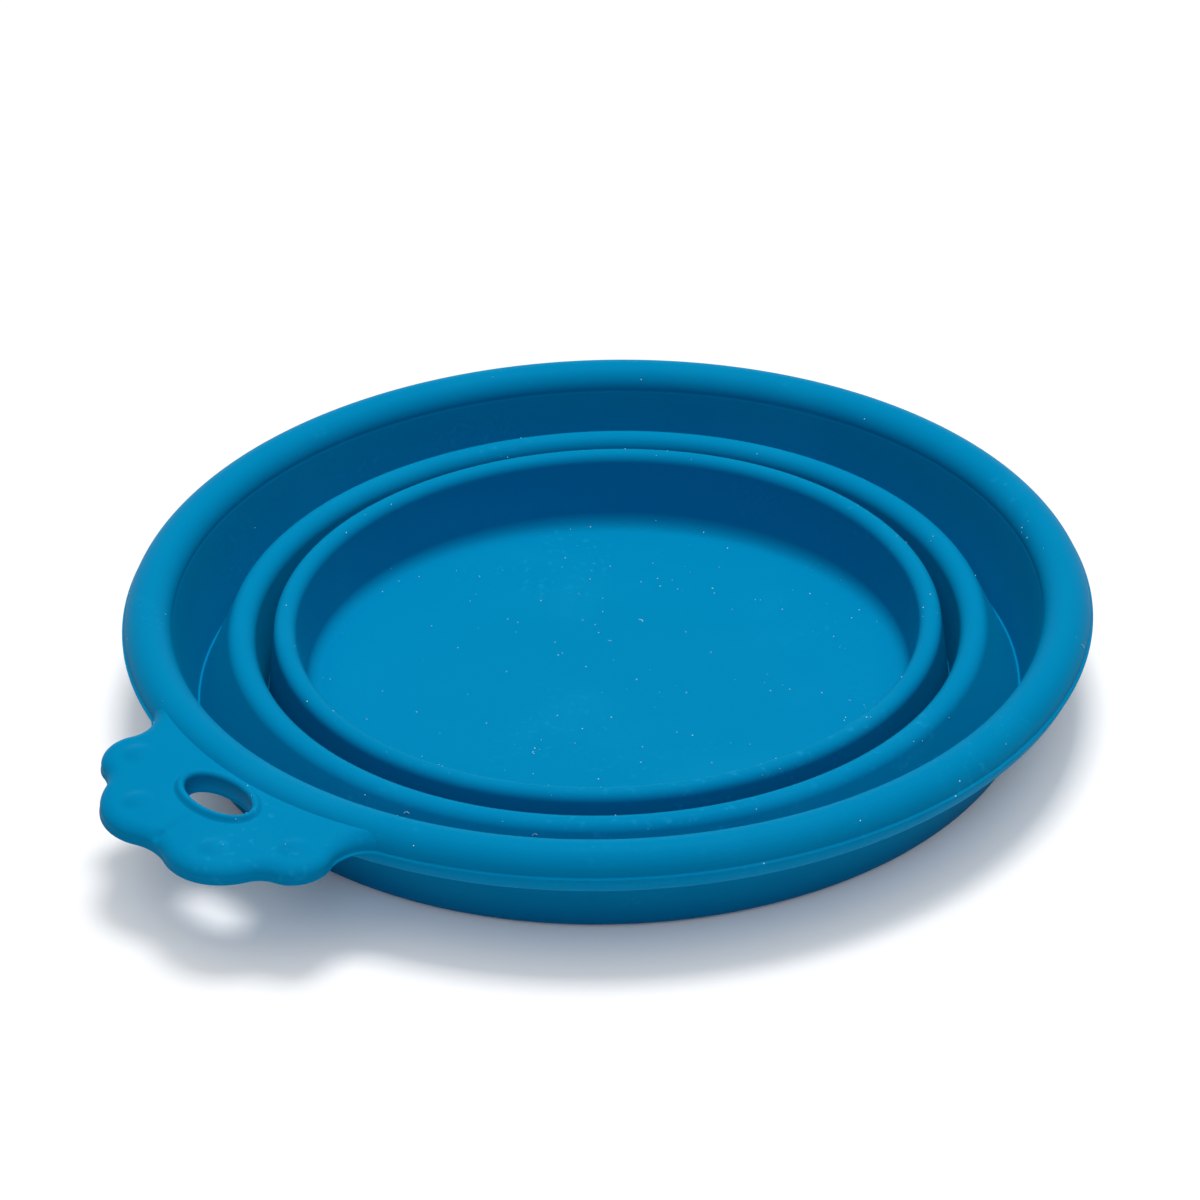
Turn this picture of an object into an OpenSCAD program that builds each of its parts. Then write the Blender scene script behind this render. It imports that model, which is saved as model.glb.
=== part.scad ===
// Collapsible silicone bowl, folded flat, with a scalloped hang tab.
// One moulding: stiff rings joined by soft webs that fold between them.
// The origin is the middle of the base's underside, +Z is up and the tab points to -Y.
// Sections are drawn as [radius, height] and turned about the Z axis.

/* [Mouth and rim] */
// Outer diameter of the rim, over its parting line
mouth_d = 130; // [122:1:140]
// Height of the folded bowl, from the table to the top of the rim
fold_h = 16.5; // [15.5:0.1:20]
// Thickness of the rolled rim
rim_bead_d = 6.4; // [5.4:0.1:7]
// How far the parting line stands out from the rim
parting_out = 0.3; // [0.1:0.05:0.5]
// Height of the parting line where it leaves the rim
parting_root = 0.7; // [0.4:0.1:1]
// Height of the parting line at its edge
parting_tip = 0.2; // [0.1:0.05:0.3]
// Fillet under the rim, where it meets the outer wall
rim_fillet_r = 0.8; // [0.4:0.1:1.2]
// Length of wall that is moulded with the rim, below the rim's roll
rim_neck = 1.1; // [0.9:0.1:1.6]

/* [Outer ring] */
// Thickness of the outer wall at its top
outer_wall_t = 2.2; // [1.8:0.1:2.6]
// Run of the outer channel's wall, from the middle of the rim's roll in to the crease at its bottom
outer_wall_run = 6; // [5.6:0.1:6.6]
// Thickness of silicone under that crease
outer_crease_t = 1.2; // [1:0.1:1.5]
// Radius of the round heel that the outer ring stands on
outer_heel_r = 2.5; // [2.2:0.1:2.8]
// Radius of the same fold on its hidden side
outer_tuck_r = 0.8; // [0.6:0.1:1]
// How far the middle of the heel lies inside the crease
outer_heel_in = 0.9; // [0.7:0.1:1.1]

/* [Middle ring] */
// Run of the outer web, from the outer channel's crease in to the outer ridge's crest
outer_web_run = 6.3; // [5.9:0.1:6.9]
// Height of the outer ridge above the table
outer_ridge_h = 11.9; // [11:0.1:12.8]
// Thickness of the outer ridge
outer_ridge_d = 4; // [3.8:0.1:4.4]
// Thickness of the middle wall
middle_wall_t = 1.6; // [1.3:0.1:1.8]
// Thickness of the outer web where it leaves the outer ridge
outer_web_t = 1.1; // [0.9:0.1:1.3]
// Run of the middle wall, from that crest in to the crease between the ridges
middle_wall_run = 3.15; // [3:0.05:3.4]
// Thickness of silicone under that crease
inner_crease_t = 1.2; // [1:0.1:1.4]
// Radius of the round heel below the middle wall
inner_heel_r = 1.9; // [1.8:0.1:2.1]
// Radius of the same fold on its hidden side
inner_tuck_r = 0.6; // [0.5:0.05:0.7]
// How far the middle of that heel lies inside the crease
inner_heel_in = 0.1; // [0:0.05:0.15]
// Height of that heel above the table
inner_heel_lift = 0.3; // [0.2:0.1:0.6]

/* [Cup] */
// Run of the cup's wall, from the inner ridge's crest in to its foot on the floor
cup_wall_run = 2.75; // [2.5:0.05:3.5]
// Thickness of the floor
floor_t = 2; // [1.5:0.1:2.5]
// Fillet between the floor and the cup's wall
floor_fillet_r = 2; // [1:0.1:3]
// Rounding of the cup's outer bottom edge
foot_round_r = 1; // [0.5:0.1:1.4]
// Thickness of the cup's wall
cup_wall_t = 1.45; // [1.2:0.05:1.5]
// Run of the inner web, from the crease between the ridges in to the inner ridge's crest
inner_web_run = 2.75; // [2.65:0.05:2.9]
// Height of the inner ridge above the table
inner_ridge_h = 12.4; // [11.5:0.1:13.2]
// Thickness of the inner ridge
inner_ridge_d = 3.04; // [3:0.02:3.1]
// Thickness of the inner web where it leaves the inner ridge
inner_web_t = 1.2; // [1:0.05:1.25]

/* [Hang tab] */
// Thickness of the tab
tab_t = 2.26; // [2:0.02:2.5]
// Rounding of the tab's upper edge
tab_edge_r = 1.4; // [0.8:0.1:1.6]
// Angle by which the soft tab droops from the rim
tab_droop = 4; // [0:0.5:5]
// Distance of the two end lobes' middles past the rim's roll
end_lobe_out = 6.65; // [6.3:0.05:7]
// Distance of the end lobes' middles from the tab's centre line
end_lobe_side = 6; // [5.8:0.05:6.2]
// Radius of the end lobes
end_lobe_r = 8.85; // [8.6:0.05:9.1]
// Distance of the two side lobes' middles past the rim's roll
side_lobe_out = 4.1; // [3.9:0.05:4.4]
// Distance of the side lobes' middles from the tab's centre line
side_lobe_side = 15.55; // [15.2:0.05:15.8]
// Radius of the side lobes
side_lobe_r = 4.6; // [4.4:0.05:4.9]
// Radius of the shallow notch at the tab's tip
tip_notch_r = 8.2; // [7:0.1:10]
// Radius of the two notches between an end lobe and a side lobe
side_notch_r = 4.45; // [4:0.05:6]
// Fillet where the tab runs into the rim
tab_root_r = 4.55; // [4:0.05:5]
// Diameter of the four raised dots
dot_d = 4.6; // [3.5:0.1:5]
// Height of the dots above the tab
dot_h = 0.3; // [0.15:0.01:0.5]
// Distance of the two end dots' middles past the rim's roll
end_dot_out = 10.65; // [10.3:0.05:11]
// Distance of the end dots' middles from the tab's centre line
end_dot_side = 7.5; // [7.1:0.1:7.9]
// Distance of the two side dots' middles past the rim's roll
side_dot_out = 4.15; // [3.9:0.05:4.4]
// Distance of the side dots' middles from the tab's centre line
side_dot_side = 15.3; // [15:0.1:15.6]

/* [Eyelet] */
// Distance of the eyelet's middle past the rim's roll
eyelet_out = 3.55; // [3.5:0.05:4]
// Width of the hole along the tab
eyelet_w = 5.5; // [5:0.1:5.8]
// Length of the hole across the tab
eyelet_l = 11.4; // [10:0.1:12.5]
// Width of the raised lip round the hole
lip_w = 1.4; // [1.2:0.05:1.45]
// Height of the lip above the tab
lip_h = 0.5; // [0.3:0.05:0.8]

/* [Smoothness] */
// Facets in a full turn of each ring
ring_fn = 240; // [120:12:360]
// Steps along each rounded stretch of a section
arc_steps = 12; // [6:1:20]
// Steps along each arc of the tab's outline
lobe_steps = 12; // [6:1:16]
// Steps along each rounding of the tab's edge, its lip and its dots
edge_steps = 6; // [3:1:8]
// Points round the eyelet
eyelet_steps = 56; // [32:8:96]
// Steps across each half of the tab's seat on the rim
seat_steps = 24; // [12:1:48]

/* [Hidden] */

silicone = [0, 0.5, 0.72];

// Points along an arc from one angle to another, without its last point where open is true
function arc(c, r, from, to, steps = arc_steps, open = false) =
    [for (i = [0:open ? steps - 1 : steps])
        let (a = from + (to - from) * i / steps) c + r * [cos(a), sin(a)]];

// Angle at which point a sees point b
function bearing(a, b) = atan2(b.y - a.y, b.x - a.x);

// Angle b, given as the turn of less than half a circle from angle a
function near(a, b) = a + (b - a + 540) % 360 - 180;

// Where a straight line from point q touches a circle, on its left (1) or right (-1) side
function touch_angle(q, c, r, side) = bearing(c, q) + side * acos(r / norm(q - c));
function touch(q, c, r, side) = c + r * [cos(touch_angle(q, c, r, side)), sin(touch_angle(q, c, r, side))];

// Point at height z on the straight line through a and b
function at_z(a, b, z) = [a.x + (b.x - a.x) * (z - a.y) / (b.y - a.y), z];

// Middle of a fillet between the outside of a circle and the right side of the line from a to b
function fillet_middle(c, r, a, b, f) =
    let (d = (b - a) / norm(b - a), n = [d.y, -d.x], w = b + f * n - c, along = w * d)
    b + f * n - d * (along + sqrt(along * along - w * w + (r + f) * (r + f)));

// Crossing of two circles that lies to the right of the line from the first middle to the second
function beside(a, ra, b, rb) =
    let (l = norm(b - a), d = (b - a) / l, along = (ra * ra - rb * rb + l * l) / (2 * l))
    a + d * along + [d.y, -d.x] * sqrt(ra * ra - along * along);

// Rim, as a circle with its middle on the parting line
bead_r = rim_bead_d / 2;
bead = [mouth_d / 2 - parting_out - bead_r, fold_h - bead_r];
rim_out_r = bead.x + bead_r;
rim_seat_z = bead.y - bead_r - rim_neck;
parting_angle = asin(parting_root / rim_bead_d);

// Creases and crests, each placed from the one outside it
outer_crease_r = bead.x - outer_wall_run;
outer_ridge_r = outer_crease_r - outer_web_run;
inner_crease_r = outer_ridge_r - middle_wall_run;
inner_ridge_r = inner_crease_r - inner_web_run;
cup_floor_r = inner_ridge_r - cup_wall_run;

// Ridges, as circles
outer_crest_r = outer_ridge_d / 2;
outer_ridge_c = [outer_ridge_r, outer_ridge_h - outer_crest_r];
inner_crest_r = inner_ridge_d / 2;
inner_ridge_c = [inner_ridge_r, inner_ridge_h - inner_crest_r];

// Outer ring: channel side from the crease to the rim, outside from the heel to the rim
outer_crease = [outer_crease_r, outer_crease_t];
outer_in_angle = touch_angle(outer_crease, bead, bead_r, -1);
outer_in_top = touch(outer_crease, bead, bead_r, -1);
outer_heel = [outer_crease_r - outer_heel_in, outer_heel_r];
outer_out_top = at_z(outer_crease, outer_in_top, bead.y - bead_r) + [outer_wall_t, 0];
outer_heel_end = touch_angle(outer_out_top, outer_heel, outer_heel_r, -1);
outer_out_low = touch(outer_out_top, outer_heel, outer_heel_r, -1);
outer_cut_z = outer_out_low.y;
rim_fillet_c = fillet_middle(bead, bead_r, outer_out_low, outer_out_top, rim_fillet_r);

// Middle ring: gap side from the inner crease to the outer ridge, and its hidden side
inner_crease = [inner_crease_r, inner_heel_lift + inner_crease_t];
middle_in_angle = touch_angle(inner_crease, outer_ridge_c, outer_crest_r, -1);
middle_in_top = touch(inner_crease, outer_ridge_c, outer_crest_r, -1);
middle_in_foot = at_z(inner_crease, middle_in_top, outer_ridge_c.y);
middle_out_foot = middle_in_foot + [middle_wall_t, 0];
inner_heel = [inner_crease_r - inner_heel_in, inner_heel_lift + inner_heel_r];
inner_heel_end = touch_angle(middle_out_foot, inner_heel, inner_heel_r, -1);
middle_out_low = touch(middle_out_foot, inner_heel, inner_heel_r, -1);
inner_cut_z = middle_out_low.y;

// Outer web: from the outer crease to the outer ridge
outer_web_angle = touch_angle(outer_crease, outer_ridge_c, outer_crest_r, 1);
outer_web_top = touch(outer_crease, outer_ridge_c, outer_crest_r, 1);
outer_web_out_foot = at_z(outer_crease, outer_web_top, outer_ridge_c.y);
outer_web_in_foot = outer_web_out_foot - [outer_web_t, 0];
outer_tuck = [outer_heel.x, outer_tuck_r];
outer_tuck_end = touch_angle(outer_web_in_foot, outer_tuck, outer_tuck_r, 1);
outer_web_in_low = touch(outer_web_in_foot, outer_tuck, outer_tuck_r, 1);

// Inner web: from the inner crease to the inner ridge
inner_web_angle = touch_angle(inner_crease, inner_ridge_c, inner_crest_r, 1);
inner_web_top = touch(inner_crease, inner_ridge_c, inner_crest_r, 1);
inner_web_out_foot = at_z(inner_crease, inner_web_top, inner_ridge_c.y);
inner_web_in_foot = inner_web_out_foot - [inner_web_t, 0];
inner_tuck = [inner_heel.x, inner_heel_lift + inner_tuck_r];
inner_tuck_end = touch_angle(inner_web_in_foot, inner_tuck, inner_tuck_r, 1);
inner_web_in_low = touch(inner_web_in_foot, inner_tuck, inner_tuck_r, 1);

// Cup: inside from the floor to the inner ridge, and its hidden side
cup_in_low = [cup_floor_r, floor_t];
cup_in_angle = touch_angle(cup_in_low, inner_ridge_c, inner_crest_r, -1);
cup_in_top = touch(cup_in_low, inner_ridge_c, inner_crest_r, -1);
cup_in_foot = at_z(cup_in_low, cup_in_top, inner_ridge_c.y);
cup_out_foot = cup_in_foot + [cup_wall_t, 0];
cup_lean = atan2(cup_in_top.x - cup_in_low.x, cup_in_top.y - cup_in_low.y);
corner_share = (1 - sin(cup_lean)) / cos(cup_lean);
floor_edge_r = cup_floor_r - floor_fillet_r * corner_share;
foot_c = [at_z(cup_in_low, cup_in_top, 0).x + cup_wall_t - foot_round_r * corner_share, foot_round_r];

// Tab, drawn as [side, distance from the bowl's axis] with its tip towards +Y until it is turned
tab_z = bead.y;
tab_top_z = tab_z + tab_t;
end_lobe = [end_lobe_side, rim_out_r + end_lobe_out];
side_lobe = [side_lobe_side, rim_out_r + side_lobe_out];
tip_notch = [0, end_lobe.y + sqrt(pow(end_lobe_r + tip_notch_r, 2) - pow(end_lobe.x, 2))];
side_notch = beside(side_lobe, side_lobe_r + side_notch_r, end_lobe, end_lobe_r + side_notch_r);
eyelet_c = [0, rim_out_r + eyelet_out];
// Least width of the step that the tab's two corners leave on the rim
tab_heel = 0.05;
// Distance from the axis, along the tab, at which its foot leaves the rim and its droop begins
droop_y = corner(-parting_out, tab_z).y;

// Outer surface of the rim at height z at or above its parting line, whose edge is flat and whose side slopes
function rim_r(z) =
    let (roll_r = bead.x + sqrt(bead_r * bead_r - pow(z - bead.y, 2)),
         slope = (parting_root / 2 - (z - bead.y)) / (parting_root / 2 - parting_tip / 2))
    slope > 0 ? roll_r + (mouth_d / 2 - roll_r) * min(1, slope) : roll_r;

// Height to which the droop brings a point at height z and distance y along the tab
function droop(z, y) = z - tan(tab_droop) * (y - droop_y);

// One arc of the tab's outline, round middle c from where it faces point a to where it faces point b
function lobe(c, r, a, b) =
    arc(c, r, bearing(c, a), near(bearing(c, a), bearing(c, b)), lobe_steps, open = true);

// Middle of the fillet between the rim at height z and the side lobe drawn in by inset
function root_c(inset, z) =
    beside([0, 0], rim_r(z) + tab_root_r, side_lobe, side_lobe_r - inset + tab_root_r);

// Angle about that middle at which the fillet ends on the rim
function root_end(inset, z) =
    let (l = norm(root_c(inset, z)), reach = rim_r(z) + tab_heel)
    bearing(root_c(inset, z), [0, 0])
        - acos(min(1, (l * l + tab_root_r * tab_root_r - reach * reach) / (2 * l * tab_root_r)));

// Corner of the outline on the rim at height z
function corner(inset, z) =
    root_c(inset, z) + tab_root_r * [cos(root_end(inset, z)), sin(root_end(inset, z))];

// Height at which a level of the drooping tab meets the rim at that corner
function corner_z(inset, z) = droop(z, corner(inset, droop(z, corner(inset, z).y)).y);

// Point of the rim at angle a where a level of the tab meets it
function rim_point(a, z) = rim_r(droop(z, rim_r(droop(z, rim_r(z) * sin(a))) * sin(a))) * [cos(a), sin(a)];

// Right half of the tab's outline from the notch at its tip to the rim, drawn in by inset
function half_outline(inset, z) =
    let (foot_z = corner_z(inset, z), root = root_c(inset, foot_z), root_start = bearing(root, side_lobe))
    concat(arc(tip_notch, tip_notch_r + inset, -90, bearing(tip_notch, end_lobe), lobe_steps, open = true),
           lobe(end_lobe, end_lobe_r - inset, tip_notch, side_notch),
           lobe(side_notch, side_notch_r + inset, end_lobe, side_lobe),
           lobe(side_lobe, side_lobe_r - inset, side_notch, root),
           arc(root, tab_root_r, root_start, near(root_start, root_end(inset, foot_z)), lobe_steps));

// Whole outline of the tab at level z, closed along the rim
function tab_ring(inset, z) =
    let (right = half_outline(inset, z), n = len(right), from = bearing([0, 0], right[n - 1]),
         seat = [for (i = [-seat_steps:seat_steps]) rim_point(90 + (90 - from) * i / seat_steps, z)])
    [for (p = concat(right, seat, [for (i = [n - 1:-1:1]) [-right[i].x, right[i].y]]))
        [p.x, p.y, droop(z, p.y)]];

// Triangles of the side faces between rings of n points, for a skin of m rings
function side_faces(n, m) =
    [for (j = [0:m - 2], i = [0:n - 1]) let (k = (i + 1) % n, low = j * n, high = low + n)
        each [[low + i, high + k, low + k], [low + i, high + i, high + k]]];

// Point beside the eyelet's edge, out from it by the given width
function eyelet_point(angle, out) =
    let (a = eyelet_l / 2, b = eyelet_w / 2, n = [b * cos(angle), a * sin(angle)])
    eyelet_c + [a * cos(angle), b * sin(angle)] + n * out / norm(n);

module ring(section) color(silicone) rotate_extrude($fn = ring_fn) polygon(section);

module base_floor() color(silicone) cylinder(h = floor_t, r = floor_edge_r, $fn = ring_fn);

module cup_wall()
    ring(concat([[floor_edge_r, 0]],
                arc(foot_c, foot_round_r, -90, -cup_lean),
                [cup_out_foot, cup_in_foot],
                arc([floor_edge_r, floor_t + floor_fillet_r], floor_fillet_r, -cup_lean, -90)));

// A ridge: rounded over the top from its web's outer foot to its wall's inner foot, and grooved beneath
module ridge(c, r, web_foot, web_angle, wall_angle, wall_foot, groove_from, groove_to)
    ring(concat([web_foot], arc(c, r, web_angle, near(web_angle, wall_angle)), [wall_foot],
                arc((groove_from + groove_to) / 2, norm(groove_to - groove_from) / 2, 180, 0)));

module inner_ridge()
    ridge(inner_ridge_c, inner_crest_r, inner_web_out_foot, inner_web_angle, cup_in_angle, cup_in_foot,
          cup_out_foot, inner_web_in_foot);

module outer_ridge()
    ridge(outer_ridge_c, outer_crest_r, outer_web_out_foot, outer_web_angle, middle_in_angle, middle_in_foot,
          middle_out_foot, outer_web_in_foot);

// A soft web: from its cut at height z up to its two feet
module web(crease, out_foot, in_low, in_foot, z)
    ring([at_z(in_low, in_foot, z), in_foot, out_foot, at_z(crease, out_foot, z)]);

module inner_web() web(inner_crease, inner_web_out_foot, inner_web_in_low, inner_web_in_foot, inner_cut_z);

module outer_web() web(outer_crease, outer_web_out_foot, outer_web_in_low, outer_web_in_foot, outer_cut_z);

// A fold: the sharp crease above, and the round heel and tuck below
module fold(crease, wall_top, web_out, web_low, web_foot, tuck, tuck_r, tuck_end, heel, heel_r, heel_end, z)
    ring(concat([at_z(crease, wall_top, z), crease, at_z(crease, web_out, z), at_z(web_low, web_foot, z)],
                arc(tuck, tuck_r, tuck_end, 270, open = true),
                arc(heel, heel_r, 270, 360 + heel_end)));

module inner_fold()
    fold(inner_crease, middle_in_top, inner_web_out_foot, inner_web_in_low, inner_web_in_foot,
         inner_tuck, inner_tuck_r, inner_tuck_end, inner_heel, inner_heel_r, inner_heel_end, inner_cut_z);

module outer_fold()
    fold(outer_crease, outer_in_top, outer_web_out_foot, outer_web_in_low, outer_web_in_foot,
         outer_tuck, outer_tuck_r, outer_tuck_end, outer_heel, outer_heel_r, outer_heel_end, outer_cut_z);

module middle_wall()
    ring([at_z(inner_crease, middle_in_top, inner_cut_z), middle_in_foot, middle_out_foot, middle_out_low]);

module outer_wall()
    ring([at_z(outer_crease, outer_in_top, outer_cut_z), at_z(outer_crease, outer_in_top, rim_seat_z),
          at_z(outer_out_low, outer_out_top, rim_seat_z), outer_out_low]);

module rim_bead()
    ring(concat([at_z(outer_crease, outer_in_top, rim_seat_z)],
                arc(bead, bead_r, outer_in_angle + 360, parting_angle, 3 * arc_steps),
                [[mouth_d / 2, bead.y + parting_tip / 2], [mouth_d / 2, bead.y - parting_tip / 2]],
                arc(bead, bead_r, -parting_angle, bearing(bead, rim_fillet_c), open = true),
                arc(rim_fillet_c, rim_fillet_r, bearing(rim_fillet_c, bead),
                    180 - atan2(outer_out_top.x - outer_out_low.x, outer_out_top.y - outer_out_low.y)),
                [at_z(outer_out_low, outer_out_top, rim_seat_z)]));

// The tab: a skin of outlines from its parting line up, the upper ones drawn in along a quarter round
module hang_tab() {
    levels = concat([[-parting_out, tab_z], [-parting_out, tab_z + parting_tip / 2],
                     [0, tab_z + parting_root / 2]],
                    [for (i = [0:edge_steps]) let (a = 90 * i / edge_steps)
                        [tab_edge_r * (1 - cos(a)), tab_top_z - tab_edge_r * (1 - sin(a))]]);
    rings = [for (l = levels) tab_ring(l.x, l.y)];
    n = len(rings[0]);
    m = len(rings);
    color(silicone) rotate(180) difference() {
        polyhedron([for (r = rings) each r],
                   concat([[for (i = [0:n - 1]) i], [for (i = [n - 1:-1:0]) (m - 1) * n + i]],
                          side_faces(n, m)));
        translate([0, 0, tab_z - tab_t])
            linear_extrude(3 * tab_t)
                polygon([for (i = [1:eyelet_steps]) eyelet_point(360 * i / eyelet_steps, 0)]);
    }
}

// The lip: a hoop seated on the tab round its hole, rounded towards the hole and easing into the tab
module eyelet_lip() {
    section = concat([for (i = [edge_steps:-1:1]) let (share = i / edge_steps)
                         [lip_h + (lip_w - lip_h) * share, tab_top_z + lip_h * (1 + cos(180 * share)) / 2]],
                     [for (i = [0:edge_steps]) let (a = 90 * i / edge_steps)
                         [lip_h * (1 - sin(a)), tab_top_z + lip_h * cos(a)]]);
    n = len(section);
    color(silicone) rotate(180)
        polyhedron([for (i = [1:eyelet_steps], s = section)
                       let (p = eyelet_point(360 * i / eyelet_steps, s.x)) [p.x, p.y, droop(s.y, p.y)]],
                   [for (j = [0:eyelet_steps - 1], i = [0:n - 1])
                       let (k = (i + 1) % n, here = j * n, next = ((j + 1) % eyelet_steps) * n)
                       each [[here + i, here + k, next + k], [here + i, next + k, next + i]]]);
}

// The dots: four soft swellings of the tab
module tab_dots() {
    slope = [for (i = [edge_steps:-1:0]) let (share = i / edge_steps)
        [dot_d / 2 * share, dot_h * (1 + cos(180 * share)) / 2]];
    color(silicone) rotate(180)
        for (side = [-1, 1], at = [[end_dot_side, end_dot_out], [side_dot_side, side_dot_out]])
            translate([side * at.x, rim_out_r + at.y, droop(tab_top_z, rim_out_r + at.y)])
                rotate([-tab_droop, 0, 0])
                    rotate_extrude($fn = ring_fn / 4) polygon(concat([[0, 0]], slope));
}

base_floor();
cup_wall();
inner_ridge();
inner_web();
inner_fold();
middle_wall();
outer_ridge();
outer_web();
outer_fold();
outer_wall();
rim_bead();
hang_tab();
eyelet_lip();
tab_dots();
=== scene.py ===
"""Collapsible silicone bowl, folded flat: its rings, its hang tab and the studio round it."""
import logging
import math
from dataclasses import dataclass, field
from enum import Enum

import bmesh
import bpy
import numpy as np
from mathutils import Matrix, Vector


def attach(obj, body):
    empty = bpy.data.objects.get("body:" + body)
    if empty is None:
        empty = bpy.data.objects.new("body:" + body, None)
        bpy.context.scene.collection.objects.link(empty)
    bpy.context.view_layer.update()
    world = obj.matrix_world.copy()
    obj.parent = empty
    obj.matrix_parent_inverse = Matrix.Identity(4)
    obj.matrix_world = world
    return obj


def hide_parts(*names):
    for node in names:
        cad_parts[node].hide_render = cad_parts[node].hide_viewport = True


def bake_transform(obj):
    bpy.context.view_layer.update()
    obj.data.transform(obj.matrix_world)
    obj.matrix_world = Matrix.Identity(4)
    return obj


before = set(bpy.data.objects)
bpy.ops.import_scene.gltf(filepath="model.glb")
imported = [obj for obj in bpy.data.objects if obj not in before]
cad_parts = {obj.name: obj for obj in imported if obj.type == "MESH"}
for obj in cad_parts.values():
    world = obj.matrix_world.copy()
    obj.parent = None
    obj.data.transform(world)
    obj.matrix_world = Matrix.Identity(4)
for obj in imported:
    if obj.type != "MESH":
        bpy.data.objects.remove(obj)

logging.basicConfig(level=logging.INFO, format="%(levelname)s %(message)s")
log = logging.getLogger("bowl")

MM = 0.001
MERGE = 0.0005 * MM
SLIVER = 0.0002 * MM
SHARP_DEG = 32.0
WHITE = (1.0, 1.0, 1.0, 1.0)
Colour = tuple[float, float, float, float]
Triple = tuple[float, float, float]
Point = np.ndarray
Ring = list[bmesh.types.BMVert]
Pieces = list[bpy.types.Object]
Fed = dict[str | int, object]


class Shell(Enum):
    """The three stiff parts that slide in one another, by the name of the body that each rides on."""

    BASE = "base"
    MIDDLE = "middle_band"
    RIM = "rim_band"


class Side(Enum):
    """Side of a circle that a straight line touches, seen from the line's start."""

    LEFT = 1
    RIGHT = -1


def at(x: float, y: float) -> Point:
    """A point of a section or an outline, in millimetres."""
    return np.array([x, y], dtype=float)


def bearing(start: Point, end: Point) -> float:
    """Angle in degrees at which start sees end."""
    return math.degrees(math.atan2(end[1] - start[1], end[0] - start[0]))


def near(angle: float, other: float) -> float:
    """Returns other, given as a turn of less than half a circle from angle."""
    return angle + (other - angle + 540) % 360 - 180


def at_height(low: Point, high: Point, z: float) -> Point:
    """Point at height z on the straight line through low and high."""
    share = (z - low[1]) / (high[1] - low[1])
    return at(low[0] + (high[0] - low[0]) * share, z)


@dataclass(frozen=True)
class Circle:
    """A circle in a section or an outline, in millimetres."""

    x: float
    y: float
    r: float

    @property
    def middle(self) -> Point:
        """The circle's middle."""
        return at(self.x, self.y)

    def point(self, angle: float, out: float = 0.0) -> Point:
        """Point at an angle in degrees, moved out from the circle by out."""
        turn = math.radians(angle)
        return self.middle + (self.r + out) * at(math.cos(turn), math.sin(turn))

    def arc(self, start: float, end: float, steps: int, last: bool = True) -> list[Point]:
        """Points along the circle.

        Args:
            start: First angle in degrees.
            end: Last angle in degrees.
            steps: Number of steps between them.
            last: False leaves out the last point, where the next arc begins.

        Returns:
            The points, in order.
        """
        count = steps + 1 if last else steps
        return [self.point(start + (end - start) * i / steps) for i in range(count)]

    def touch_angle(self, start: Point, side: Side) -> float:
        """Angle at which a straight line from start touches the circle on the given side."""
        reach = float(np.linalg.norm(start - self.middle))
        return bearing(self.middle, start) + side.value * math.degrees(math.acos(self.r / reach))

    def touch(self, start: Point, side: Side) -> Point:
        """Point at which a straight line from start touches the circle on the given side."""
        return self.point(self.touch_angle(start, side))

    def grown(self, by: float) -> "Circle":
        """The same circle with its radius changed by the given length."""
        return Circle(self.x, self.y, self.r + by)

    def beside(self, other: "Circle") -> Point:
        """Finds a crossing with another circle.

        Args:
            other: The circle that this one crosses.

        Returns:
            The crossing that lies to the right of the line between the middles.
        """
        span = other.middle - self.middle
        length = float(np.linalg.norm(span))
        ahead = span / length
        along = (self.r**2 - other.r**2 + length**2) / (2 * length)
        return self.middle + ahead * along + at(ahead[1], -ahead[0]) * math.sqrt(self.r**2 - along**2)


def rounded_corner(before: Point, corner: Point, after: Point, radius: float, steps: int) -> list[Point]:
    """Rounds one corner of a section.

    Args:
        before: A point on the line that comes in.
        corner: The sharp corner.
        after: A point on the line that goes out.
        radius: Radius of the rounding.
        steps: Number of steps along it.

    Returns:
        The points that take the corner's place.
    """
    back = (before - corner) / np.linalg.norm(before - corner)
    on = (after - corner) / np.linalg.norm(after - corner)
    half = math.acos(float(np.clip(back @ on, -1, 1))) / 2
    middle_way = (back + on) / np.linalg.norm(back + on)
    middle = corner + middle_way * radius / math.sin(half)
    round_ = Circle(middle[0], middle[1], radius)
    start = bearing(middle, corner + back * radius / math.tan(half))
    end = bearing(middle, corner + on * radius / math.tan(half))
    return round_.arc(start, near(start, end), steps)


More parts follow.
